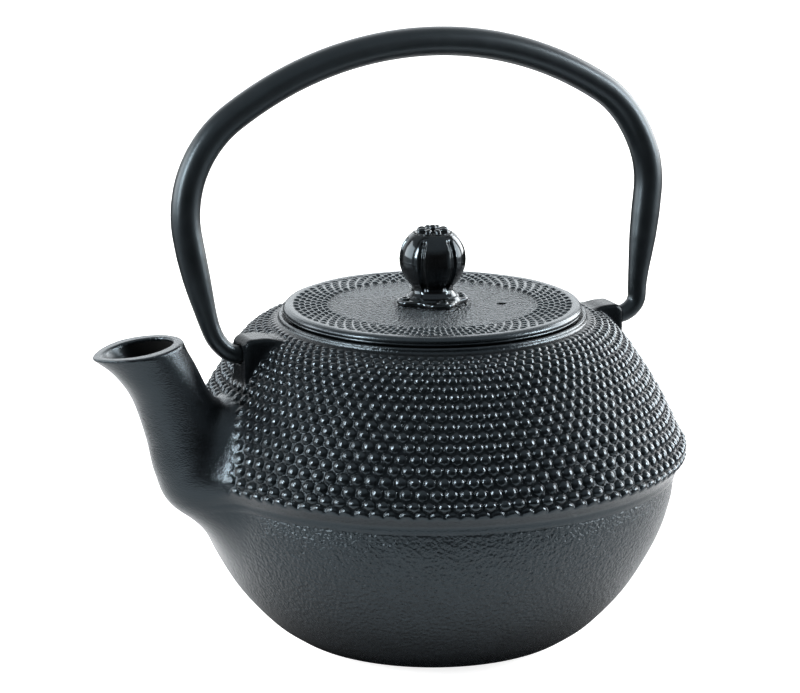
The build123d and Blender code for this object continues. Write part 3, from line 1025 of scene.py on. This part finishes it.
def woven_steel(name, flat):
    """Fine square weave: bright wires over holes painted dark as the shade seen through them, on the
    infuser's wall or on its flat floor.
    """
    look = Look(name, STEEL, 0.35, metallic=1.0)
    split = look.node("ShaderNodeSeparateXYZ")
    look.link(look.place, split.inputs["Vector"])
    x, y, z = split.outputs
    per_mm = 2 * math.pi / WEAVE_PITCH

    def wave(value, rate):
        return look.math("SINE", look.math("MULTIPLY", value, rate))

    first = wave(x, per_mm) if flat else wave(look.math("ARCTAN2", y, x), WEAVE_ROUND)
    wire = look.math("MAXIMUM", first, wave(y if flat else z, per_mm))
    # The holes are painted near black, as painted shade seen through the weave.
    look.use("Base Color", look.colors(wire, [(0.1, HOLE_SHADE), (0.5, WIRE)]))
    look.use("Roughness", look.spread(look.noise(6.0), 0.3, 0.42))
    look.use("Normal", look.bump(wire, WEAVE_DEPTH))
    return look.material


def dress(node, material):
    """Give a carried-over CAD node its material."""
    mesh = frame["nodes"][node].data
    mesh.materials.clear()
    mesh.materials.append(material)


# ---- pieces
LEATHER_TOP = (56.0, 58.2)  # heights over which the leathery skin of the lower bowl ends
BAND_FOOT = (58.0, 60.0)
LEATHER_LEFT = 0.12  # how leathery the spout's foot is
LEATHER_SPOUT = (3.0, 16.0)  # distances from the spout over which the leather deepens
SHOULDER_FOOT, SHOULDER_TOP = (63.0, 65.0), (108.0, 108.5)
SHOULDER_SPOUT = (4.0, 8.0)
ENAMEL_DEPTH = 1.2  # faces deeper than this under the outer skin are enamelled
FIELD_EDGE = (32.5, 34.5)  # radii over which the lid's rough middle ends


def make_pot():
    voxel = quick_or(0.55)
    low = np.minimum.reduce([box_mm(n)[0] for n in BOWL_NODES]) - 1
    high = np.maximum.reduce([box_mm(n)[1] for n in BOWL_NODES]) + 1
    piece, points, faces = cast_piece(
        "teapot_casting", pot, low, high, voxel, "pot", BOWL_NODES
    )
    _, bead = pot_skin(points)
    spout, _, _ = spout_skin(points)
    z = points[:, 2]
    mark(piece, "bead", np.clip(bead, 0, 1))
    leather = LEATHER_LEFT + (1 - LEATHER_LEFT) * smoothstep(*LEATHER_SPOUT, spout)
    leather = (1 - smoothstep(*LEATHER_TOP, z)) * leather
    mark(piece, "leather", leather + 0.06 * smoothstep(*BAND_FOOT, z))
    shoulder = smoothstep(*SHOULDER_FOOT, z) * (1 - smoothstep(*SHOULDER_TOP, z))
    mark(piece, "shoulder", shoulder * smoothstep(*SHOULDER_SPOUT, spout))
    piece.data.materials.append(cast_iron())
    piece.data.materials.append(enamel())
    skin, _ = pot_skin(points[faces].mean(axis=1))
    piece.data.polygons.foreach_set("material_index", (skin < -ENAMEL_DEPTH).astype(np.int32))


def make_lid():
    piece, points, _ = cast_piece(
        "lid_casting", lid, LID_LOW - 1, LID_HIGH + 1, quick_or(0.38), "lid", ["lid"]
    )
    r = np.hypot(points[:, 0], points[:, 1])
    rise = smoothstep(PANEL_Z + 0.1, PANEL_Z + 0.6, points[:, 2])
    mark(piece, "bead", rise * (r < PANEL_R + 0.2))
    mark(piece, "field", (1 - smoothstep(*FIELD_EDGE, r)) * (points[:, 2] > LID_TOP - 1.5))
    piece.data.materials.append(lid_iron())


def make_knob():
    voxel = quick_or(0.22)
    paint = gloss_black()
    for name, shape, low, high, node in (
        ("knob_ball", knob, KNOB_LOW - 1, KNOB_HIGH + 0.5, "knob"),
        ("knob_rosette", rosette, SEAT_LOW - 1, SEAT_HIGH + 1, "knob_seat"),
    ):
        piece, _, _ = cast_piece(name, shape, low, high, voxel, "lid", [node])
        piece.data.materials.append(paint)


def make_bail():
    points, faces = bail_mesh()
    mesh = bpy.data.meshes.new("bail_bar")
    mesh.from_pydata((points * MM).tolist(), [], faces)
    mesh.polygons.foreach_set("use_smooth", [len(face) == 4 for face in faces])
    piece = add_object("bail_bar", mesh)
    mesh.materials.append(satin_black())
    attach(piece, "bail")
    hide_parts("handle")


make_pot()
make_lid()
make_knob()
make_bail()

brushed = steel("brushed_steel", 0.3, (0.15, 0.15, 6.0))
turned_steel = steel("turned_steel", 0.22, (3.0, 3.0, 3.0))
for name in ("infuser_collar", "infuser_base_ring"):
    dress(name, brushed)
dress("infuser_mesh_wall", woven_steel("woven_wall", flat=False))
dress("infuser_mesh_floor", woven_steel("woven_floor", flat=True))
for name in ("knob_screw", "knob_washer"):
    dress(name, turned_steel)


# ---- studio
VIEW_TURN = math.radians(-24.0)
VIEW_RISE = math.radians(13.9)
VIEW_DISTANCE = 1.464
VIEW_LEFT = 0.0106
VIEW_DOWN = 0.0144
SENSOR = 36.0
FOCAL = 202.0
FLOOR_SIZE = 12.0
CARD_SIZE = 0.44
CARD_LIFT = 0.0002
FLOOR_WHITE = 0.55
FLOOR_GLOW = 0.85
CARD_GLOW = 0.16
CARD_WHITE = 0.62
# Radii over which the painted shadow under the pot fades out on the card.
CARD_DARK_R = 0.04
CARD_LIGHT_R = 0.1
FRONT, WINGS, BEHIND, ABOVE = 0.015, 1.0, 2.3, 0.75  # brightness of the room by direction
HORIZON, BEHIND_EDGE, WINGS_EDGE, ABOVE_EDGE = (0.0, 0.08), (0.45, 0.8), (0.74, 0.93), (0.25, 0.75)
ROOM_TINT = (0.93, 0.97, 1.0)
SOFTBOX_DISTANCE = 1.3
SOFTBOX_HEIGHT = 0.8
LIT_HEIGHT = 0.09  # height of the point that the softboxes face
# Name, turn from the camera's side and rise in degrees, width in metres and brightness of each softbox.
SOFTBOXES = [
    ("strip_left", -62, 24, 0.15, 68.0),
    ("strip_right", 90, 20, 0.14, 60.0),
    ("wing_left", -96, 18, 0.9, 8.0),
    ("wing_right", 122, 16, 1.2, 9.0),
]


def direction(turn, rise):
    """Unit vector from the teapot towards a point at this azimuth and elevation."""
    return Vector((
        math.sin(turn) * math.cos(rise),
        -math.cos(turn) * math.cos(rise),
        math.sin(rise),
    ))


def make_camera():
    away = direction(VIEW_TURN, VIEW_RISE)
    right = Vector((math.cos(VIEW_TURN), math.sin(VIEW_TURN), 0))
    up = away.cross(right)
    target = Vector((0, 0, LID_TOP * MM)) - right * VIEW_LEFT - up * VIEW_DOWN
    camera = bpy.data.cameras.new("camera")
    camera.sensor_width = SENSOR
    camera.lens = FOCAL
    camera.clip_end = 50
    holder = add_object("camera", camera)
    holder.location = target + away * VIEW_DISTANCE
    holder.rotation_euler = away.to_track_quat("Z", "Y").to_euler()
    bpy.context.scene.camera = holder


def make_softbox(name, turn, rise, width, radiance):
    """Upright rectangular light facing the middle of the teapot."""
    light = bpy.data.lights.new(name, "AREA")
    light.shape = "RECTANGLE"
    light.size = width
    light.size_y = SOFTBOX_HEIGHT
    light.energy = radiance * math.pi * width * SOFTBOX_HEIGHT
    holder = add_object(name, light)
    way = direction(VIEW_TURN + math.radians(turn), math.radians(rise))
    holder.location = Vector((0, 0, LIT_HEIGHT)) + way * SOFTBOX_DISTANCE
    holder.rotation_euler = way.to_track_quat("Z", "Y").to_euler()
    holder.visible_camera = False


def white_paper(name, white, glow):
    material = bpy.data.materials.new(name)
    material.use_nodes = True
    shader = material.node_tree.nodes["Principled BSDF"]
    shader.inputs["Base Color"].default_value = (white, white, white, 1)
    shader.inputs["Roughness"].default_value = 0.9
    shader.inputs["Specular IOR Level"].default_value = 0.1
    shader.inputs["Emission Color"].default_value = (1, 1, 1, 1)
    shader.inputs["Emission Strength"].default_value = glow
    return material


def lay_sheet(name, half, height, material):
    """Square sheet of paper, level, centred under the teapot."""
    mesh = bpy.data.meshes.new(name)
    corners = [(-half, -half), (half, -half), (half, half), (-half, half)]
    mesh.from_pydata([(x, y, height) for x, y in corners], [], [(0, 1, 2, 3)])
    mesh.materials.append(material)
    sheet = add_object(name, mesh)
    sheet.rotation_euler = (0, 0, VIEW_TURN)
    return sheet


def shade_under_pot(card):
    """Paint a shadow into the middle of the card, where the pot stands over it: its white and its glow
    fade out towards the middle.
    """
    tree = card.data.materials[0].node_tree
    place = tree.nodes.new("ShaderNodeTexCoord")
    length = tree.nodes.new("ShaderNodeVectorMath")
    length.operation = "LENGTH"
    tree.links.new(place.outputs["Object"], length.inputs[0])
    fade = map_range(tree, length.outputs["Value"], CARD_DARK_R, CARD_LIGHT_R)
    shader = tree.nodes["Principled BSDF"]
    for socket, full in (("Base Color", CARD_WHITE), ("Emission Strength", CARD_GLOW)):
        tree.links.new(math_node(tree, "MULTIPLY", fade, full), shader.inputs[socket])


def make_floor():
    """A wide white floor, and the smaller card round the pot that the iron mirrors in its place."""
    paper = white_paper("floor_paper", FLOOR_WHITE, FLOOR_GLOW)
    floor = lay_sheet("floor", FLOOR_SIZE / 2, -CARD_LIFT, paper)
    floor.visible_glossy = False
    paper = white_paper("card_paper", CARD_WHITE, CARD_GLOW)
    card = lay_sheet("floor_card", CARD_SIZE / 2, 0.0, paper)
    shade_under_pot(card)
    card.visible_camera = False
    card.visible_diffuse = False
    card.visible_shadow = False


def make_world():
    """White backdrop for the camera; for the light, a studio that is dark in front and pale behind."""
    world = bpy.data.worlds.new("studio")
    world.use_nodes = True
    tree = world.node_tree
    nodes, link = tree.nodes, tree.links.new
    out = nodes["World Output"]
    room = nodes["Background"]
    backdrop = nodes.new("ShaderNodeBackground")
    backdrop.inputs["Color"].default_value = (1, 1, 1, 1)
    place = nodes.new("ShaderNodeTexCoord")
    turn = nodes.new("ShaderNodeMapping")
    turn.inputs["Rotation"].default_value = (0, 0, -VIEW_TURN)
    link(place.outputs["Generated"], turn.inputs["Vector"])
    split = nodes.new("ShaderNodeSeparateXYZ")
    link(turn.outputs["Vector"], split.inputs["Vector"])
    x, y, z = split.outputs
    behind = map_range(tree, y, *BEHIND_EDGE, 0.0, BEHIND)
    behind = math_node(tree, "MULTIPLY", behind, map_range(tree, z, *HORIZON))
    wings = map_range(tree, math_node(tree, "ABSOLUTE", x), *WINGS_EDGE, FRONT, WINGS)
    above = map_range(tree, z, *ABOVE_EDGE, 0.0, ABOVE)
    total = math_node(tree, "MAXIMUM", math_node(tree, "MAXIMUM", wings, above), behind)
    room.inputs["Color"].default_value = (*ROOM_TINT, 1)
    link(total, room.inputs["Strength"])
    path = nodes.new("ShaderNodeLightPath")
    mix = nodes.new("ShaderNodeMixShader")
    link(path.outputs["Is Camera Ray"], mix.inputs["Fac"])
    link(room.outputs["Background"], mix.inputs[1])
    link(backdrop.outputs["Background"], mix.inputs[2])
    link(mix.outputs["Shader"], out.inputs["Surface"])
    bpy.context.scene.world = world


make_camera()
make_floor()
make_world()
for box in SOFTBOXES:
    make_softbox(*box)
bpy.context.scene.view_settings.view_transform = "Standard"
